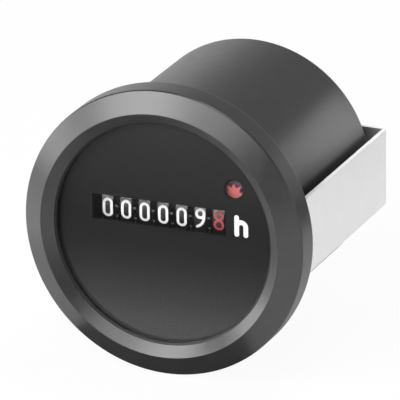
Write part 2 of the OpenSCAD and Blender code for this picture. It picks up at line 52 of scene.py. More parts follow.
# Camera. A long lens looks at the meter from the right and a little above, as for a catalogue.
# The middle of the rim's front edge fixes the frame: where it lies in the picture, and the width there.
mm = 0.001
camera_azimuth = math.radians(23.43)
camera_elevation = math.radians(20.65)
camera_roll = math.radians(0.71)
camera_distance = 1165 * mm
rim_front = Vector((0, -5.7 * mm, 0))
picture_width = 79.541 * mm
picture_px = 400
rim_px = (162.81, 233.52)
sensor_width = 36
towards = Vector((math.sin(camera_azimuth) * math.cos(camera_elevation),
                  -math.cos(camera_azimuth) * math.cos(camera_elevation), math.sin(camera_elevation)))
rightwards = Vector((math.cos(camera_azimuth), math.sin(camera_azimuth), 0))
upwards = towards.cross(rightwards)
frame_offset = Vector((picture_px / 2 - rim_px[0], rim_px[1] - picture_px / 2)) * picture_width / picture_px
frame_offset.rotate(Matrix.Rotation(-camera_roll, 2))
eye = rim_front + towards * camera_distance
aim = rim_front + rightwards * frame_offset.x + upwards * frame_offset.y
camera = bpy.data.objects.new("camera", bpy.data.cameras.new("camera"))
camera.data.sensor_width = sensor_width
camera.data.lens = sensor_width * camera_distance / picture_width
camera.location = eye
camera.rotation_mode = "QUATERNION"
camera.rotation_quaternion = (aim - eye).to_track_quat("-Z", "Y") @ Quaternion((0, 0, 1), -camera_roll)
bpy.context.collection.objects.link(camera)
bpy.context.scene.camera = camera
bpy.context.scene.view_settings.view_transform = "Standard"

# Lamps. Square soft boxes hang at the front left, at the front and overhead.
# Cards stand at the left and before the counter's window, and two small ones close to the bezel,
# low at its left and behind its right.


def soft_box(name, direction, distance, width, radiance):
    """A square lamp that faces the meter: radiance is how bright its front looks, with 1 as white."""
    lamp = bpy.data.lights.new(name, "AREA")
    lamp.size = width
    lamp.energy = radiance * math.pi * width * width
    box = bpy.data.objects.new(name, lamp)
    box.location = Vector(direction).normalized() * distance
    box.rotation_euler = (-box.location).to_track_quat("-Z", "Y").to_euler()
    bpy.context.collection.objects.link(box)
    return box


soft_box("front_left_box", (-0.45, -0.66, 0.58), distance=0.9, width=0.6, radiance=6.8)
soft_box("front_box", (0.14, -0.75, 0.62), distance=0.9, width=0.42, radiance=3.6)
left_card = soft_box("left_card", (-0.98, -0.2, -0.02), distance=0.8, width=0.5, radiance=4.2)
soft_box("top_box", (0.15, 0.25, 0.95), distance=1.0, width=0.4, radiance=7.0)
soft_box("low_left_card", (-0.083, -0.017, -0.018), distance=0.0866, width=0.03, radiance=0.9)
soft_box("counter_card", (-0.37, -0.92, 0.12), distance=0.9, width=0.25, radiance=1.5)
soft_box("rear_right_card", (0.037, 0.056, 0.0175), distance=0.0694, width=0.02, radiance=1.3)

# Backdrop. A white wall stands all round, and matt surfaces get a faint even fill from it.
# In gloss it darkens upwards and has two round curtains, a black one at the front right and a grey one
# at the rear right.
matt_fill = 0.15
world = bpy.data.worlds.new("studio")
bpy.context.scene.world = world
world.use_nodes = True
wall = world.node_tree
wall_path = wall.nodes.new("ShaderNodeLightPath")
wall_place = wall.nodes.new("ShaderNodeTexCoord")
wall_axes = wall.nodes.new("ShaderNodeSeparateXYZ")
wall.links.new(wall_place.outputs["Generated"], wall_axes.inputs[0])


def reckoned(tree, operation, *values, kind="ShaderNodeMath"):
    """Adds a node that reckons with these values: a socket is linked, a constant is set."""
    node = tree.nodes.new(kind)
    node.operation = operation
    for socket, value in zip(node.inputs, values):
        if isinstance(value, bpy.types.NodeSocket):
            tree.links.new(value, socket)
        else:
            socket.default_value = value
    return node


def faded(value, fade_from, fade_to, level):
    """The wall's brightness along a value: white as far as fade_from, and this level past fade_to."""
    fade = wall.nodes.new("ShaderNodeMapRange")
    fade.inputs["From Min"].default_value = fade_from
    fade.inputs["From Max"].default_value = fade_to
    fade.inputs["To Min"].default_value = 1.0
    fade.inputs["To Max"].default_value = level
    wall.links.new(value, fade.inputs["Value"])
    return fade.outputs["Result"]


def curtain(direction, fade_from, fade_to, level):
    """A round curtain on the wall about a direction: its soft edge lies between these two cosines."""
    nearness = reckoned(wall, "DOT_PRODUCT", wall_place.outputs["Generated"], direction,
                        kind="ShaderNodeVectorMath")
    return faded(nearness.outputs["Value"], fade_from, fade_to, level)


front_curtain = curtain((0.57, -0.8, 0.19), fade_from=0.86, fade_to=0.96, level=0.1)
rear_curtain = curtain((0.49, 0.86, 0.146), fade_from=0.9, fade_to=0.98, level=0.45)
curtains = reckoned(wall, "MULTIPLY", front_curtain, rear_curtain)
dark_top = faded(wall_axes.outputs["Z"], fade_from=0.3, fade_to=0.5, level=0.08)
mirrored = reckoned(wall, "MULTIPLY", dark_top, curtains.outputs[0])
thrown = wall.nodes.new("ShaderNodeMix")
thrown.inputs["A"].default_value = matt_fill
wall.links.new(wall_path.outputs["Is Glossy Ray"], thrown.inputs["Factor"])
wall.links.new(mirrored.outputs[0], thrown.inputs["B"])
seen = reckoned(wall, "MAXIMUM", wall_path.outputs["Is Camera Ray"], wall_path.outputs["Is Transmission Ray"])
wall_level = reckoned(wall, "MAXIMUM", seen.outputs[0], thrown.outputs["Result"])
wall.links.new(wall_level.outputs[0], wall.nodes["Background"].inputs["Strength"])
wall.nodes["Background"].inputs["Color"].default_value = (1, 1, 1, 1)

# Floor. A sheet of pale paper lies just under the rim, white to the camera and half white in gloss.
# Flags lie on it that glow and show only in reflections, under the rim, before it and at the rear right.
# Their glow is painted reflection of the floor's shade and light. From the rim to the front their painted
# tone runs from dark to pale, back to dark and up to white.
floor_half = 3.0
floor_gap = 0.1 * mm
paper_camera_share = 0.95
paper_gloss_share = 0.5
doubles_within = 1e-7


def finished(name, bm, material=None):
    """Makes the mesh an object at the origin: doubles merged, faces turned outwards."""
    bmesh.ops.remove_doubles(bm, verts=bm.verts, dist=doubles_within)
    bmesh.ops.recalc_face_normals(bm, faces=bm.faces)
    mesh = bpy.data.meshes.new(name)
    bm.to_mesh(mesh)
    bm.free()
    piece = bpy.data.objects.new(name, mesh)
    bpy.context.collection.objects.link(piece)
    if material:
        mesh.materials.append(material)
    return piece


floor_bm = bmesh.new()
bmesh.ops.create_grid(floor_bm, x_segments=1, y_segments=1, size=floor_half,
                      matrix=Matrix.Translation((0, 0, cad_box[0][2] - floor_gap)))
paper = bpy.data.materials.new("paper_floor")
paper.use_nodes = True
paper_tree = paper.node_tree
paper_shader = paper_tree.nodes["Principled BSDF"]
paper_shader.inputs["Base Color"].default_value = (0.86, 0.86, 0.86, 1)
paper_shader.inputs["Roughness"].default_value = 0.8
paper_path = paper_tree.nodes.new("ShaderNodeLightPath")
paper_white = paper_tree.nodes.new("ShaderNodeEmission")
paper_mix = paper_tree.nodes.new("ShaderNodeMixShader")
paper_seen = reckoned(paper_tree, "MULTIPLY_ADD", paper_path.outputs["Is Camera Ray"], paper_camera_share, 0)
paper_share = reckoned(paper_tree, "MULTIPLY_ADD", paper_path.outputs["Is Glossy Ray"], paper_gloss_share,
                       paper_seen.outputs[0])
paper_tree.links.new(paper_share.outputs[0], paper_mix.inputs[0])
paper_tree.links.new(paper_shader.outputs[0], paper_mix.inputs[1])
paper_tree.links.new(paper_white.outputs[0], paper_mix.inputs[2])
paper_tree.links.new(paper_mix.outputs[0], paper_tree.nodes["Material Output"].inputs["Surface"])
finished("floor", floor_bm, paper)
flag_gap = 0.05 * mm
flag_sheets = ((-450, 20, -450, -20), (-26, 20, -20, 30), (90, 900, 125, 900))
flag_reach = 0.2
flag_tones = ((0, 0.1), (0.099, 0.1), (0.101, 0.95), (0.15, 0.85), (0.21, 0.55), (0.27, 0.33), (0.34, 0.15),
              (0.42, 0.1), (0.65, 0.3), (0.72, 0.4), (0.84, 1.0))
flag_bm = bmesh.new()
for left, right, front, back in flag_sheets:
    middle = Matrix.Translation(((left + right) / 2 * mm, (front + back) / 2 * mm, cad_box[0][2] - flag_gap))
    spread = Matrix.Diagonal(((right - left) * mm, (back - front) * mm, 1, 1))
    bmesh.ops.create_grid(flag_bm, x_segments=1, y_segments=1, size=0.5, matrix=middle @ spread)
# Painted reflections: the sheets glow with these tones, the shade and light that the floor would show in
# gloss.
painted_reflection_glow = bpy.data.materials.new("painted_reflection_glow")
painted_reflection_glow.use_nodes = True
flag_tree = painted_reflection_glow.node_tree
flag_place = flag_tree.nodes.new("ShaderNodeTexCoord")
flag_axes = flag_tree.nodes.new("ShaderNodeSeparateXYZ")
flag_run = flag_tree.nodes.new("ShaderNodeMapRange")
flag_run.inputs["From Min"].default_value = 0
flag_run.inputs["From Max"].default_value = -flag_reach
flag_fade = flag_tree.nodes.new("ShaderNodeValToRGB")
for place, tone in flag_tones[1:-1]:
    flag_fade.color_ramp.elements.new(place)
for stop, (place, tone) in zip(flag_fade.color_ramp.elements, flag_tones):
    stop.position = place
    stop.color = (tone, tone, tone, 1)
flag_glow = flag_tree.nodes.new("ShaderNodeEmission")
flag_tree.links.new(flag_place.outputs["Object"], flag_axes.inputs[0])
flag_tree.links.new(flag_axes.outputs["Y"], flag_run.inputs["Value"])
flag_tree.links.new(flag_run.outputs["Result"], flag_fade.inputs["Fac"])
flag_tree.links.new(flag_fade.outputs["Color"], flag_glow.inputs["Color"])
flag_tree.links.new(flag_glow.outputs[0], flag_tree.nodes["Material Output"].inputs["Surface"])
flag = finished("flag", flag_bm, painted_reflection_glow)
flag.visible_camera = False
flag.visible_diffuse = False
flag.visible_shadow = False

# Housing. A barrel moulded in black plastic with a closed rear wall, stud bosses and terminal collars.
# Its satin skin is a fine spark-eroded grain left by the mould.
cloud_scale = 450
cloud_roughness = 0.65
tone_from = 0.3
tone_to = 0.7
moulded_spread = 0.06
weld_within = 1e-6
sharp_angle = math.radians(32)
break_angle = math.radians(40)
break_segments = 2
grain = bpy.data.node_groups.new("moulded_grain", "ShaderNodeTree")
grain.interface.new_socket("Grain size", in_out="INPUT", socket_type="NodeSocketFloat")
grain.interface.new_socket("Fleck", in_out="OUTPUT", socket_type="NodeSocketFloat")
grain.interface.new_socket("Height", in_out="OUTPUT", socket_type="NodeSocketFloat")
grain_in = grain.nodes.new("NodeGroupInput")
grain_out = grain.nodes.new("NodeGroupOutput")
grain_place = grain.nodes.new("ShaderNodeTexCoord")
grain_scale = reckoned(grain, "DIVIDE", 1.0, grain_in.outputs["Grain size"])
grain_pits = grain.nodes.new("ShaderNodeTexNoise")
grain_pits.inputs["Detail"].default_value = 3
grain_cloud = grain.nodes.new("ShaderNodeTexNoise")
grain_cloud.inputs["Detail"].default_value = 4
grain_cloud.inputs["Roughness"].default_value = cloud_roughness
grain_cloud.inputs["Scale"].default_value = cloud_scale
for texture in (grain_pits, grain_cloud):
    grain.links.new(grain_place.outputs["Object"], texture.inputs["Vector"])
grain.links.new(grain_scale.outputs[0], grain_pits.inputs["Scale"])
grain.links.new(grain_pits.outputs["Fac"], grain_out.inputs["Height"])
grain.links.new(grain_cloud.outputs["Fac"], grain_out.inputs["Fleck"])


def skinned(name, skin_group, tone, shine, relief, dark, light, roughness, spread, depth):
    """A finish from a skin group's outputs: a tone of two colours, a varied shine and a relief."""
    material = bpy.data.materials.new(name)
    material.use_nodes = True
    tree = material.node_tree
    shader = tree.nodes["Principled BSDF"]
    skin = tree.nodes.new("ShaderNodeGroup")
    skin.name = "skin"
    skin.node_tree = skin_group
    ramp = tree.nodes.new("ShaderNodeValToRGB")
    ramp.color_ramp.elements[0].position = tone_from
    ramp.color_ramp.elements[0].color = (*dark, 1)
    ramp.color_ramp.elements[1].position = tone_to
    ramp.color_ramp.elements[1].color = (*light, 1)
    gloss = tree.nodes.new("ShaderNodeMapRange")
    gloss.inputs["To Min"].default_value = roughness - spread
    gloss.inputs["To Max"].default_value = roughness + spread
    bump = tree.nodes.new("ShaderNodeBump")
    bump.inputs["Strength"].default_value = 1.0
    bump.inputs["Distance"].default_value = depth
    tree.links.new(skin.outputs[tone], ramp.inputs["Fac"])
    tree.links.new(ramp.outputs["Color"], shader.inputs["Base Color"])
    tree.links.new(skin.outputs[shine], gloss.inputs["Value"])
    tree.links.new(gloss.outputs["Result"], shader.inputs["Roughness"])
    tree.links.new(skin.outputs[relief], bump.inputs["Height"])
    tree.links.new(bump.outputs["Normal"], shader.inputs["Normal"])
    return material


def moulded(name, dark, light, roughness, grain_size, depth, gloss_index=1.5):
    """Moulded plastic, paint or ink: a cloudy mix of two colours and a grain of that size and depth."""
    material = skinned(name, grain, "Fleck", "Fleck", "Height", dark, light, roughness, moulded_spread, depth)
    material.node_tree.nodes["Principled BSDF"].inputs["IOR"].default_value = gloss_index
    material.node_tree.nodes["skin"].inputs["Grain size"].default_value = grain_size
    return material


smooth_faces = bpy.data.node_groups.new("smooth_faces", "GeometryNodeTree")
smooth_faces.interface.new_socket("Geometry", in_out="INPUT", socket_type="NodeSocketGeometry")
smooth_faces.interface.new_socket("Geometry", in_out="OUTPUT", socket_type="NodeSocketGeometry")
smooth_in = smooth_faces.nodes.new("NodeGroupInput")
smooth_out = smooth_faces.nodes.new("NodeGroupOutput")
smooth_merge = smooth_faces.nodes.new("GeometryNodeMergeByDistance")
smooth_merge.inputs["Distance"].default_value = weld_within
smooth_all = smooth_faces.nodes.new("GeometryNodeSetShadeSmooth")
smooth_sharp = smooth_faces.nodes.new("GeometryNodeSetShadeSmooth")
smooth_sharp.domain = "EDGE"
smooth_sharp.inputs["Shade Smooth"].default_value = False
smooth_angle = smooth_faces.nodes.new("GeometryNodeInputMeshEdgeAngle")
smooth_limit = smooth_faces.nodes.new("FunctionNodeCompare")
smooth_limit.inputs[1].default_value = sharp_angle
smooth_faces.links.new(smooth_in.outputs[0], smooth_merge.inputs["Geometry"])
smooth_faces.links.new(smooth_merge.outputs[0], smooth_all.inputs["Geometry"])
smooth_faces.links.new(smooth_all.outputs[0], smooth_sharp.inputs["Geometry"])
smooth_faces.links.new(smooth_angle.outputs["Unsigned Angle"], smooth_limit.inputs[0])
smooth_faces.links.new(smooth_limit.outputs["Result"], smooth_sharp.inputs["Selection"])
smooth_faces.links.new(smooth_sharp.outputs[0], smooth_out.inputs[0])


def rounded_off(piece, edge_break=0):
    """Round faces shade as round ones: sharp corners stay sharp, or are broken, and flats stay flat."""
    piece.modifiers.new("smooth_faces", "NODES").node_group = smooth_faces
    if edge_break:
        broken = piece.modifiers.new("edge_break", "BEVEL")
        broken.width = edge_break
        broken.segments = break_segments
        broken.angle_limit = break_angle
    weights = piece.modifiers.new("weights", "WEIGHTED_NORMAL")
    weights.keep_sharp = True


def dress(material, *names, edge_break=0):
    """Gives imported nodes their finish."""
    for name in names:
        rounded_off(nodes[name], edge_break)
        nodes[name].material_slots[0].material = material


case_black = moulded("case_black", dark=(0.014, 0.014, 0.015), light=(0.022, 0.022, 0.0235), roughness=0.36,
                     grain_size=0.25 * mm, depth=0.008 * mm, gloss_index=1.7)
dress(case_black, "housing")

# Mounting studs. Two M4 steel studs with rolled threads, zinc plated.
# Their flat heads are moulded into the bosses on the housing's rear wall.
plating_stretch_scale = (6000, 300, 6000)
plating_bloom_scale = 260
plating_spread = 0.08
plating = bpy.data.node_groups.new("plating", "ShaderNodeTree")
plating.interface.new_socket("Streak", in_out="OUTPUT", socket_type="NodeSocketFloat")
plating.interface.new_socket("Bloom", in_out="OUTPUT", socket_type="NodeSocketFloat")
plating_out = plating.nodes.new("NodeGroupOutput")
plating_place = plating.nodes.new("ShaderNodeTexCoord")
plating_stretch = plating.nodes.new("ShaderNodeMapping")
plating_stretch.inputs["Scale"].default_value = plating_stretch_scale
plating_streak = plating.nodes.new("ShaderNodeTexNoise")
plating_streak.inputs["Scale"].default_value = 1
plating_streak.inputs["Detail"].default_value = 3
plating_bloom = plating.nodes.new("ShaderNodeTexNoise")
plating_bloom.inputs["Scale"].default_value = plating_bloom_scale
plating_bloom.inputs["Detail"].default_value = 5
plating.links.new(plating_place.outputs["Object"], plating_stretch.inputs["Vector"])
plating.links.new(plating_stretch.outputs[0], plating_streak.inputs["Vector"])
plating.links.new(plating_place.outputs["Object"], plating_bloom.inputs["Vector"])
plating.links.new(plating_streak.outputs["Fac"], plating_out.inputs["Streak"])
plating.links.new(plating_bloom.outputs["Fac"], plating_out.inputs["Bloom"])


def metal(name, dark, light, roughness, scratch):
    """Bare or plated metal: a cloudy bloom in the colour, drawing streaks in the gloss and the surface."""
    material = skinned(name, plating, "Bloom", "Streak", "Streak", dark, light, roughness, plating_spread,
                       scratch)
    material.node_tree.nodes["Principled BSDF"].inputs["Metallic"].default_value = 1.0
    return material


zinc = metal("bright_zinc", dark=(0.94, 0.94, 0.94), light=(0.97, 0.97, 0.965), roughness=0.36,
             scratch=0.0003 * mm)
stud_x = 11 * mm
stud_r = 2 * mm
stud_end = 59.4 * mm
stud_edge = 0.5 * mm
stud_head_r = 3.5 * mm
stud_head_from = 39.9 * mm
stud_head_to = 41.4 * mm
thread_from = 44.5 * mm
thread_lap = 0.1 * mm
thread_pitch = 0.7 * mm
thread_root_r = 1.57 * mm
thread_root_share = 0.125
thread_crest_shares = (0.437, 0.563)
thread_steps = 24
thread_turns = math.ceil((stud_end - thread_from) / thread_pitch) + 2
thread_line = ((thread_root_r, 0), (thread_root_r, thread_root_share), (stud_r, thread_crest_shares[0]),
               (stud_r, thread_crest_shares[1]), (thread_root_r, 1))
thread_bm = bmesh.new()
ridge = [thread_bm.verts.new((radius, thread_from + (share - 1) * thread_pitch, 0))
         for radius, share in thread_line]
ridge += [thread_bm.edges.new(pair) for pair in zip(ridge, ridge[1:])]
bmesh.ops.spin(thread_bm, geom=ridge, cent=(0, 0, 0), axis=(0, 1, 0), angle=thread_turns * 2 * math.pi,
               steps=thread_turns * thread_steps, dvec=(0, thread_pitch / thread_steps, 0), use_merge=False)
bmesh.ops.remove_doubles(thread_bm, verts=thread_bm.verts, dist=weld_within)
for along, way in ((thread_from, -1), (stud_end, 1)):
    bmesh.ops.bisect_plane(thread_bm, geom=thread_bm.verts[:] + thread_bm.edges[:] + thread_bm.faces[:],
                           plane_co=(0, along, 0), plane_no=(0, way, 0), clear_outer=True)
bmesh.ops.holes_fill(thread_bm, edges=[edge for edge in thread_bm.edges if edge.is_boundary], sides=0)
for vert in thread_bm.verts:
    widest = stud_r - max(0, vert.co.y - stud_end + stud_edge)
    radius = math.hypot(vert.co.x, vert.co.z)
    if radius > widest:
        vert.co = (vert.co.x * widest / radius, vert.co.y, vert.co.z * widest / radius)
threaded = bpy.data.meshes.new("threaded")
thread_bm.to_mesh(threaded)
thread_bm.free()
shank_line = ((0, stud_head_from), (stud_head_r, stud_head_from), (stud_head_r, stud_head_to),
              (stud_r, stud_head_to), (stud_r, thread_from + thread_lap), (0, thread_from + thread_lap))
studs_bm = bmesh.new()
shank = [studs_bm.verts.new((radius, along, 0)) for radius, along in shank_line]
shank += [studs_bm.edges.new(pair) for pair in zip(shank, shank[1:])]
bmesh.ops.spin(studs_bm, geom=shank, cent=(0, 0, 0), axis=(0, 1, 0), angle=2 * math.pi, steps=thread_steps,
               use_merge=True)
studs_bm.from_mesh(threaded)
bpy.data.meshes.remove(threaded)
bmesh.ops.translate(studs_bm, verts=studs_bm.verts, vec=(-stud_x, 0, 0))
first_stud = studs_bm.verts[:] + studs_bm.edges[:] + studs_bm.faces[:]
second_stud = bmesh.ops.duplicate(studs_bm, geom=first_stud)["geom"]
bmesh.ops.translate(studs_bm, verts=[item for item in second_stud if isinstance(item, bmesh.types.BMVert)],
                    vec=(2 * stud_x, 0, 0))
studs = finished("threaded_studs", studs_bm, zinc)
rounded_off(studs)
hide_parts("mounting_studs")
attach(studs, "meter")

# Blade terminals. Two tabs stamped from brass sheet and tinned, for push-on connectors.
# They stand in collars on the housing's rear wall.
tinned = metal("tinned_brass", dark=(0.6, 0.56, 0.42), light=(0.74, 0.7, 0.56), roughness=0.32,
               scratch=0.0006 * mm)
dress(tinned, "terminal_left", "terminal_right", edge_break=0.08 * mm)

# Circuit. A board of glass laminate under green resist stands behind the motor.
# The crystal in its steel can, the moulded driver chip and the sleeved smoothing capacitor are soldered on.
resist = moulded("solder_resist", dark=(0.02, 0.11, 0.045), light=(0.035, 0.16, 0.07), roughness=0.35,
                 grain_size=0.3 * mm, depth=0.004 * mm)
dress(resist, "circuit_board")
crystal_can = metal("crystal_can", dark=(0.52, 0.53, 0.54), light=(0.64, 0.65, 0.66), roughness=0.28,
                    scratch=0.0005 * mm)
dress(crystal_can, "quartz_crystal")
chip_black = moulded("chip_black", dark=(0.016, 0.016, 0.018), light=(0.024, 0.024, 0.026), roughness=0.55,
                     grain_size=0.08 * mm, depth=0.004 * mm)
dress(chip_black, "driver_chip")
sleeve = moulded("capacitor_sleeve", dark=(0.02, 0.035, 0.12), light=(0.035, 0.055, 0.17), roughness=0.3,
                 grain_size=0.3 * mm, depth=0.002 * mm)
dress(sleeve, "smoothing_capacitor")

# Motor. A drawn and plated steel can with a brass pinion, which drives the brass worm through the drive gear.
# It hangs behind the frame plate on two screws.
motor_can = metal("motor_can", dark=(0.3, 0.31, 0.33), light=(0.4, 0.41, 0.43), roughness=0.36,
                  scratch=0.0008 * mm)
dress(motor_can, "drive_motor")
brass = metal("brass", dark=(0.55, 0.41, 0.16), light=(0.7, 0.54, 0.25), roughness=0.3, scratch=0.0006 * mm)
dress(brass, "motor_pinion", "drive_worm")

# Counter frame. A plate moulded in black plastic with two cheeks, held on the housing's posts by screws.
# It carries the turned steel shafts and the grey plastic bush at the worm's front end.
frame_black = moulded("frame_black", dark=(0.02, 0.02, 0.021), light=(0.03, 0.03, 0.032), roughness=0.55,
                      grain_size=0.2 * mm, depth=0.006 * mm)
dress(frame_black, "counter_frame")
turned = metal("turned_steel", dark=(0.48, 0.49, 0.5), light=(0.62, 0.63, 0.64), roughness=0.28,
               scratch=0.0006 * mm)
dress(turned, "frame_screws", "motor_screws", "number_shaft", "pinion_shaft", "worm_shaft")
bush_grey = moulded("bush_grey", dark=(0.23, 0.24, 0.26), light=(0.3, 0.31, 0.33), roughness=0.5,
                    grain_size=0.2 * mm, depth=0.005 * mm)
dress(bush_grey, "front_bush")

# Number wheels. Seven drums moulded in dark grey plastic turn on one shaft.
# Each has its transfer gear moulded on beside the band, and the tips of the teeth are painted pale in spots
# as glints.
drum_grey = moulded("drum_grey", dark=(0.006, 0.006, 0.0065), light=(0.009, 0.009, 0.0095), roughness=0.26,
                    grain_size=0.14 * mm, depth=0.0008 * mm, gloss_index=1.9)
drum_red = moulded("drum_red_figures", dark=(0.008, 0.006, 0.006), light=(0.012, 0.009, 0.009),
                   roughness=0.26, grain_size=0.14 * mm, depth=0.0008 * mm, gloss_index=1.9)
# Painted glints: this pale grey on the tooth tips stands in for the light that the tips catch.
painted_glint_grey = (0.35, 0.35, 0.34, 1)
tooth_tip_r = 7.34 * mm
tooth_tip_depth = 0.03 * mm
tooth_spot_x = 1.38 * mm
tooth_spot_half_w = 0.24 * mm
drum_pitch = 4.01 * mm
first_drum_x = 10.78 * mm
drum_axis = (6.2 * mm, 2.86 * mm)
# The mask of the painted glints: the tooth tips, in a narrow band beside each drum's band.
tips = bpy.data.node_groups.new("painted_tip_glints", "ShaderNodeTree")
tips.interface.new_socket("Glint", in_out="OUTPUT", socket_type="NodeSocketFloat")
tips_out = tips.nodes.new("NodeGroupOutput")
tips_place = tips.nodes.new("ShaderNodeTexCoord").outputs["Object"]
tips_axes = tips.nodes.new("ShaderNodeSeparateXYZ")
tips.links.new(tips_place, tips_axes.inputs[0])
tips_arm = reckoned(tips, "SUBTRACT", tips_place, (0, *drum_axis), kind="ShaderNodeVectorMath")
tips_across = reckoned(tips, "MULTIPLY", tips_arm.outputs[0], (0, 1, 1), kind="ShaderNodeVectorMath")
tips_reach = reckoned(tips, "LENGTH", tips_across.outputs[0], kind="ShaderNodeVectorMath")
at_tip = reckoned(tips, "COMPARE", tips_reach.outputs["Value"], tooth_tip_r, tooth_tip_depth)
from_drum = reckoned(tips, "SUBTRACT", tips_axes.outputs["X"], first_drum_x + tooth_spot_x)
from_spot = reckoned(tips, "PINGPONG", from_drum.outputs[0], drum_pitch / 2)
at_spot = reckoned(tips, "LESS_THAN", from_spot.outputs[0], tooth_spot_half_w)
glint_mask = reckoned(tips, "MULTIPLY", at_tip.outputs[0], at_spot.outputs[0])
tips.links.new(glint_mask.outputs[0], tips_out.inputs["Glint"])
for drum in (drum_grey, drum_red):
    tree = drum.node_tree
    glint_group = tree.nodes.new("ShaderNodeGroup")
    glint_group.node_tree = tips
    glinted = tree.nodes.new("ShaderNodeMix")
    glinted.data_type = "RGBA"
    glinted.inputs["B"].default_value = painted_glint_grey
    tree.links.new(glint_group.outputs["Glint"], glinted.inputs["Factor"])
    shade = tree.nodes["Principled BSDF"].inputs["Base Color"]
    tree.links.new(shade.links[0].from_socket, glinted.inputs["A"])
    tree.links.new(glinted.outputs["Result"], shade)
dress(drum_red, "number_wheel_1")
dress(drum_grey, *["number_wheel_%d" % wheel for wheel in range(2, 8)])

# Figures. Ten figures are printed round each band, white, and red on the tenths drum at the right.
# A pen of fixed width draws each stroke on the flat, and the sheet is then wrapped on its drum.
figure_stroke = 0.55 * mm
red_figure_stroke = 0.48 * mm
half_w = 0.82 * mm
half_h = 1.72 * mm
straight = half_h - half_w
figure_shift = 0.1 * mm
figure_turn = 36
stroke_step = 0.45 * mm
arc_step = 12
pen_segments = 20
ink_lift = 0.012 * mm
ink_thick = 0.02 * mm
ink_layer = 0.002 * mm


def draw_stroke(bm, pen, layer, x, z, heading, moves):
    """Draws one stroke on the plane y = 0: "go" runs straight, "arc" turns left on a radius, by an angle."""
    depth = -layer * ink_layer
    point = Vector((x, depth, z))
    angle = math.radians(heading)
    side = Vector((-math.sin(angle), 0, math.cos(angle))) * pen / 2
    edge = bm.edges.new((bm.verts.new(point + side), bm.verts.new(point - side)))
    start = point.copy()
    for move, size, *turn in moves:
        if move == "go":
            steps = max(1, round(size / stroke_step))
            run = Vector((math.cos(angle), 0, math.sin(angle))) * size
            for step in range(steps):
                drawn = bmesh.ops.extrude_edge_only(bm, edges=[edge])["geom"]
                moved = [item for item in drawn if isinstance(item, bmesh.types.BMVert)]
                bmesh.ops.translate(bm, verts=moved, vec=run / steps)
                edge = [item for item in drawn if isinstance(item, bmesh.types.BMEdge)
                        and all(vert in moved for vert in item.verts)][0]
            point = point + run
        else:
            sweep = math.radians(turn[0])
            left = Vector((-math.sin(angle), 0, math.cos(angle))) * math.copysign(size, sweep)
            steps = max(3, round(abs(turn[0]) / arc_step))
            drawn = bmesh.ops.spin(bm, geom=[edge, *edge.verts], cent=point + left, axis=(0, -1, 0),
                                   angle=sweep, steps=steps, use_merge=False)["geom_last"]
            edge = [item for item in drawn if isinstance(item, bmesh.types.BMEdge)][0]
            point = point + left - Matrix.Rotation(sweep, 3, (0, -1, 0)) @ left
            angle += sweep
    is_open = (point - start).length > pen / 4
    for end in (start, point) if is_open else ():
        spot = Matrix.Translation(end + Vector((0, ink_layer / 2, 0)))
        bmesh.ops.create_circle(bm, cap_ends=True, radius=pen / 2, segments=pen_segments,
                                matrix=spot @ Matrix.Rotation(math.pi / 2, 4, "X"))


tail = [("go", 0.6 * mm), ("arc", 2.3 * mm, -70.6)]
figure_strokes = [
    [(half_w, -straight, 90,
      [("go", 2 * straight), ("arc", half_w, 180), ("go", 2 * straight), ("arc", half_w, 180)])],
    [(0.2 * mm, -half_h, 90, [("go", 2 * half_h)]), (0.2 * mm, half_h, 222, [("go", 1.0 * mm)])],
    [(-half_w, straight, 90, [("arc", half_w, -214.9), ("go", 2.83 * mm)]),
     (-half_w, -half_h, 0, [("go", 2 * half_w)])],
    [(-0.727 * mm, 1.44 * mm, 60, [("arc", 0.84 * mm, -240)]), (0, 0, 0, [("arc", 0.93 * mm, -240)])],
    [(0.35 * mm, half_h, 270, [("go", 2 * half_h)]), (0.35 * mm, half_h, 242.8, [("go", 2.71 * mm)]),
     (-half_w, -0.55 * mm, 0, [("go", 2 * half_w)])],
    [(0.75 * mm, half_h, 180, [("go", 1.45 * mm)]), (-0.7 * mm, half_h, 267, [("go", 1.95 * mm)]),
     (-0.66 * mm, -0.18 * mm, 40, [("arc", 0.95 * mm, -280)])],
    [(half_w, -straight, 90, [("arc", half_w, 360)]), (-half_w, -straight, 90, tail)],
    [(-half_w, half_h, 0, [("go", 2 * half_w)]), (half_w, half_h, 253, [("go", 3.89 * mm)])],
    [(0.76 * mm, 1.0 * mm, 90, [("arc", 0.76 * mm, 360)]),
     (0.89 * mm, -0.87 * mm, 90, [("arc", 0.89 * mm, 360)])],
    [(half_w, straight, 90, [("arc", half_w, 360)]), (half_w, straight, 270, tail)],
]


def thicken(bm, thick):
    """Gives a printed sheet the thickness of its ink, towards the reader."""
    grown = bmesh.ops.extrude_face_region(bm, geom=bm.faces[:])["geom"]
    bmesh.ops.translate(bm, verts=[item for item in grown if isinstance(item, bmesh.types.BMVert)],
                        vec=(0, -thick, 0))


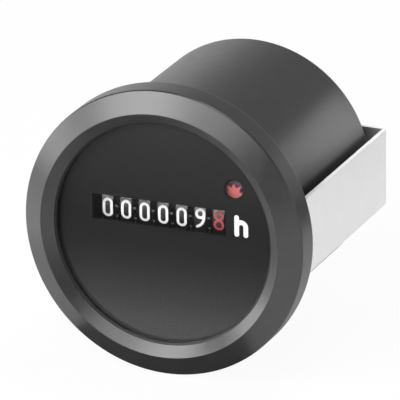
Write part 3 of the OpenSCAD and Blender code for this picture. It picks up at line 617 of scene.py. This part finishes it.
ink_white = moulded("ink_white", dark=(0.9, 0.9, 0.885), light=(0.95, 0.95, 0.935), roughness=0.5,
                    grain_size=0.1 * mm, depth=0.002 * mm)
ink_red = moulded("ink_red", dark=(0.43, 0.05, 0.055), light=(0.51, 0.07, 0.075), roughness=0.45,
                  grain_size=0.1 * mm, depth=0.002 * mm)
drum_radius = 8.6 * mm
reading = [8, 9, 0, 0, 0, 0, 0]
turned_past = [1.7, 2.3, 0, 0, 0, 0, 0]
for wheel, shown in enumerate(reading, 1):
    figures_bm = bmesh.new()
    for figure in range(10):
        flat = bmesh.new()
        for layer, stroke in enumerate(figure_strokes[figure]):
            draw_stroke(flat, red_figure_stroke if wheel == 1 else figure_stroke, layer, *stroke)
        bmesh.ops.remove_doubles(flat, verts=flat.verts, dist=doubles_within)
        thicken(flat, ink_thick)
        turn = math.radians((shown - figure) * figure_turn + turned_past[wheel - 1])
        for vert in flat.verts:
            radius = drum_radius + ink_lift - vert.co.y
            angle = turn + vert.co.z / drum_radius
            vert.co = (vert.co.x + figure_shift + first_drum_x - (wheel - 1) * drum_pitch,
                       drum_axis[0] - radius * math.cos(angle), drum_axis[1] + radius * math.sin(angle))
        printed = bpy.data.meshes.new("figure")
        flat.to_mesh(printed)
        flat.free()
        figures_bm.from_mesh(printed)
        bpy.data.meshes.remove(printed)
    figures = finished("figures_%d" % wheel, figures_bm, ink_red if wheel == 1 else ink_white)
    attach(figures, "number_wheel_%d" % wheel)

# Transfer pinions and drive gear. Small gears moulded in natural ivory plastic.
# The pinions run free on their shaft between the drums, and the drive gear sits on the worm's shaft.
ivory = moulded("gear_ivory", dark=(0.6, 0.57, 0.48), light=(0.7, 0.67, 0.58), roughness=0.45,
                grain_size=0.2 * mm, depth=0.004 * mm)
dress(ivory, "drive_gear", *["transfer_pinion_%d" % pinion for pinion in range(1, 7)])

# Running indicator. A star moulded in red plastic, with rounded points and a rounded front edge.
# It sits on the worm shaft's end and turns behind the small round window.
star_red = moulded("star_red", dark=(0.54, 0.115, 0.115), light=(0.64, 0.16, 0.155), roughness=0.4,
                   grain_size=0.2 * mm, depth=0.004 * mm)
star_at = Vector((14.48 * mm, -3.2 * mm, 9.66 * mm))
star_points = 8
star_tip_r = 2.3 * mm
star_waist_r = 1.3 * mm
star_thick = 0.6 * mm
star_turn = math.radians(44)
star_tip_round = 0.16 * mm
star_margin = 0.14 * mm
star_edge_round = 0.09 * mm
star_edge_angle = 1.2
star_bm = bmesh.new()
bmesh.ops.create_circle(star_bm, cap_ends=True, segments=2 * star_points, radius=star_tip_r)
bmesh.ops.rotate(star_bm, verts=star_bm.verts, matrix=Matrix.Rotation(math.pi / 2, 3, "X"))
star_bm.verts.ensure_lookup_table()
for vert in star_bm.verts[:][1::2]:
    vert.co *= star_waist_r / star_tip_r
star_start = star_bm.verts[0].co.angle(Vector((1, 0, 0)))
bmesh.ops.rotate(star_bm, verts=star_bm.verts, matrix=Matrix.Rotation(star_turn - star_start, 3, (0, -1, 0)))
bmesh.ops.translate(star_bm, verts=star_bm.verts, vec=star_at)
bmesh.ops.bevel(star_bm, geom=star_bm.verts[:], affect="VERTICES", offset=star_tip_round, segments=4,
                profile=0.5, material=-1)
bmesh.ops.inset_region(star_bm, faces=star_bm.faces[:], thickness=star_margin, depth=0)
star_body = bmesh.ops.extrude_face_region(star_bm, geom=star_bm.faces[:])["geom"]
bmesh.ops.translate(star_bm, vec=(0, star_thick, 0),
                    verts=[item for item in star_body if isinstance(item, bmesh.types.BMVert)])
bmesh.ops.recalc_face_normals(star_bm, faces=star_bm.faces)
star_edges = [edge for edge in star_bm.edges
              if len(edge.link_faces) == 2 and edge.calc_face_angle() > star_edge_angle
              and all(vert.co.y < star_at.y + doubles_within for vert in edge.verts)]
bmesh.ops.bevel(star_bm, geom=star_edges, affect="EDGES", offset=star_edge_round, segments=3, profile=0.5,
                material=-1)
star = finished("running_star", star_bm, star_red)
rounded_off(star)
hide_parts("running_indicator")
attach(star, "worm_drive")

# Dial. A disc punched from thin sheet and painted matt black, which lies behind the lens.
# A white letter for hours is printed on it beside the counter's window.
dial_paint = moulded("dial_paint", dark=(0.009, 0.009, 0.0093), light=(0.011, 0.011, 0.0114), roughness=0.7,
                     grain_size=0.1 * mm, depth=0.0001 * mm)
dial_paint.node_tree.nodes["Principled BSDF"].inputs["Specular IOR Level"].default_value = 0.08
dress(dial_paint, "dial")
hour_pen = 0.99 * mm
hour_left = 15.55 * mm
hour_right = 17.49 * mm
hour_foot = 1.64 * mm
hour_head = 5.18 * mm
hour_arch_top = 4.23 * mm
hour_arch_r = (hour_right - hour_left) / 2
hour_arch_z = hour_arch_top - hour_arch_r
dial_front = -4.4 * mm
hour_bm = bmesh.new()
draw_stroke(hour_bm, hour_pen, 0, hour_left, hour_foot, 90, [("go", hour_head - hour_foot)])
draw_stroke(hour_bm, hour_pen, 1, hour_left, hour_arch_z, 90,
            [("arc", hour_arch_r, -180), ("go", hour_arch_z - hour_foot)])
bmesh.ops.translate(hour_bm, verts=hour_bm.verts, vec=(0, dial_front - ink_lift / 2, 0))
thicken(hour_bm, ink_thick)
hour_letter = finished("hour_letter", hour_bm, ink_white)
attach(hour_letter, "meter")

# Lens. A flat disc cut from clear sheet and polished on both sides.
# It lies on the dial, under the bezel's lip, and lets shadow and fill light through.
lens_radius = 24.6 * mm
lens_front = -5.5 * mm
lens_gap = 0.06 * mm
lens_back = dial_front - lens_gap
lens_segments = 160
lens_place = Matrix.Translation((0, (lens_front + lens_back) / 2, 0)) @ Matrix.Rotation(math.pi / 2, 4, "X")
lens_bm = bmesh.new()
bmesh.ops.create_cone(lens_bm, cap_ends=True, segments=lens_segments, radius1=lens_radius,
                      radius2=lens_radius, depth=lens_back - lens_front, matrix=lens_place)
clear = bpy.data.materials.new("clear_sheet")
clear.use_nodes = True
clear_tree = clear.node_tree
clear_shader = clear_tree.nodes["Principled BSDF"]
clear_shader.inputs["Base Color"].default_value = (0.98, 0.985, 0.985, 1)
clear_shader.inputs["Roughness"].default_value = 0.0
clear_shader.inputs["IOR"].default_value = 1.49
clear_shader.inputs["Transmission Weight"].default_value = 1.0
clear_path = clear_tree.nodes.new("ShaderNodeLightPath")
clear_open = clear_tree.nodes.new("ShaderNodeBsdfTransparent")
clear_mix = clear_tree.nodes.new("ShaderNodeMixShader")
clear_passed = reckoned(clear_tree, "MAXIMUM", clear_path.outputs["Is Shadow Ray"],
                        clear_path.outputs["Is Diffuse Ray"])
clear_tree.links.new(clear_passed.outputs[0], clear_mix.inputs[0])
clear_tree.links.new(clear_shader.outputs[0], clear_mix.inputs[1])
clear_tree.links.new(clear_open.outputs[0], clear_mix.inputs[2])
clear_tree.links.new(clear_mix.outputs[0], clear_tree.nodes["Material Output"].inputs["Surface"])
lens = finished("clear_lens", lens_bm, clear)
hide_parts("lens")
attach(lens, "meter")

# Lens bead. A black bead, darker than the bezel's plastic.
# It runs round the lens in the corner under the bezel's lip.
dark_bead = moulded("black_bead", dark=(0.005, 0.005, 0.005), light=(0.008, 0.008, 0.008), roughness=0.5,
                  grain_size=0.4 * mm, depth=0.01 * mm)
bead_line = ((23.43, -5.51), (23.0, -5.51), (23.03, -5.75), (23.17, -6.0), (23.43, -6.12))
bead_segments = 160
bead_bm = bmesh.new()
bead = [bead_bm.verts.new((radius * mm, along * mm, 0)) for radius, along in bead_line]
bead += [bead_bm.edges.new(pair) for pair in zip(bead, bead[1:] + bead[:1])]
bmesh.ops.spin(bead_bm, geom=bead, cent=(0, 0, 0), axis=(0, 1, 0), angle=2 * math.pi, steps=bead_segments,
               use_merge=True)
lens_bead_ring = finished("lens_bead", bead_bm, dark_bead)
rounded_off(lens_bead_ring)
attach(lens_bead_ring, "meter")

# Bezel. A ring moulded in the housing's black plastic, with a slightly coarser grain on its cones.
# It snaps on the housing's neck and holds the lens and the dial.
bezel_black = moulded("bezel_black", dark=(0.019, 0.019, 0.02), light=(0.028, 0.028, 0.0295), roughness=0.33,
                      grain_size=0.3 * mm, depth=0.012 * mm, gloss_index=1.7)
dress(bezel_black, "bezel")

# Clamp. A strap folded from zinc-plated steel sheet straddles the barrel on the studs.
# Two brass nuts with a straight knurl draw it against the panel over lock washers. Its sheared edges are
# dull, and the card at the left is kept off it, because it would mirror that as plain white.
strap_half_w = 8.1 * mm
strap_edge_depth = 0.05 * mm
sheared_roughness = 0.75
strap_metallic = 0.85
sheared = zinc.copy()
sheared.name = "sheared_zinc"
tree = sheared.node_tree
strap_place = tree.nodes.new("ShaderNodeTexCoord")
strap_axes = tree.nodes.new("ShaderNodeSeparateXYZ")
tree.links.new(strap_place.outputs["Object"], strap_axes.inputs[0])
from_middle = reckoned(tree, "ABSOLUTE", strap_axes.outputs["Z"])
at_edge = reckoned(tree, "GREATER_THAN", from_middle.outputs[0], strap_half_w - strap_edge_depth)
torn = tree.nodes.new("ShaderNodeMix")
torn.inputs["B"].default_value = sheared_roughness
tree.links.new(at_edge.outputs[0], torn.inputs["Factor"])
strap_gloss = tree.nodes["Principled BSDF"].inputs["Roughness"]
tree.links.new(strap_gloss.links[0].from_socket, torn.inputs["A"])
tree.links.new(torn.outputs["Result"], strap_gloss)
plated = reckoned(tree, "SUBTRACT", strap_metallic, at_edge.outputs[0])
plated.use_clamp = True
tree.links.new(plated.outputs[0], tree.nodes["Principled BSDF"].inputs["Metallic"])
dress(sheared, "mounting_bracket", edge_break=0.17 * mm)
flagged_off = bpy.data.collections.new("flagged_off")
flagged_off.objects.link(nodes["mounting_bracket"])
flagged_off.collection_objects[0].light_linking.link_state = "EXCLUDE"
left_card.light_linking.receiver_collection = flagged_off
dress(zinc, "lock_washers", edge_break=0.08 * mm)
dress(brass, "clamp_nuts", edge_break=0.06 * mm)
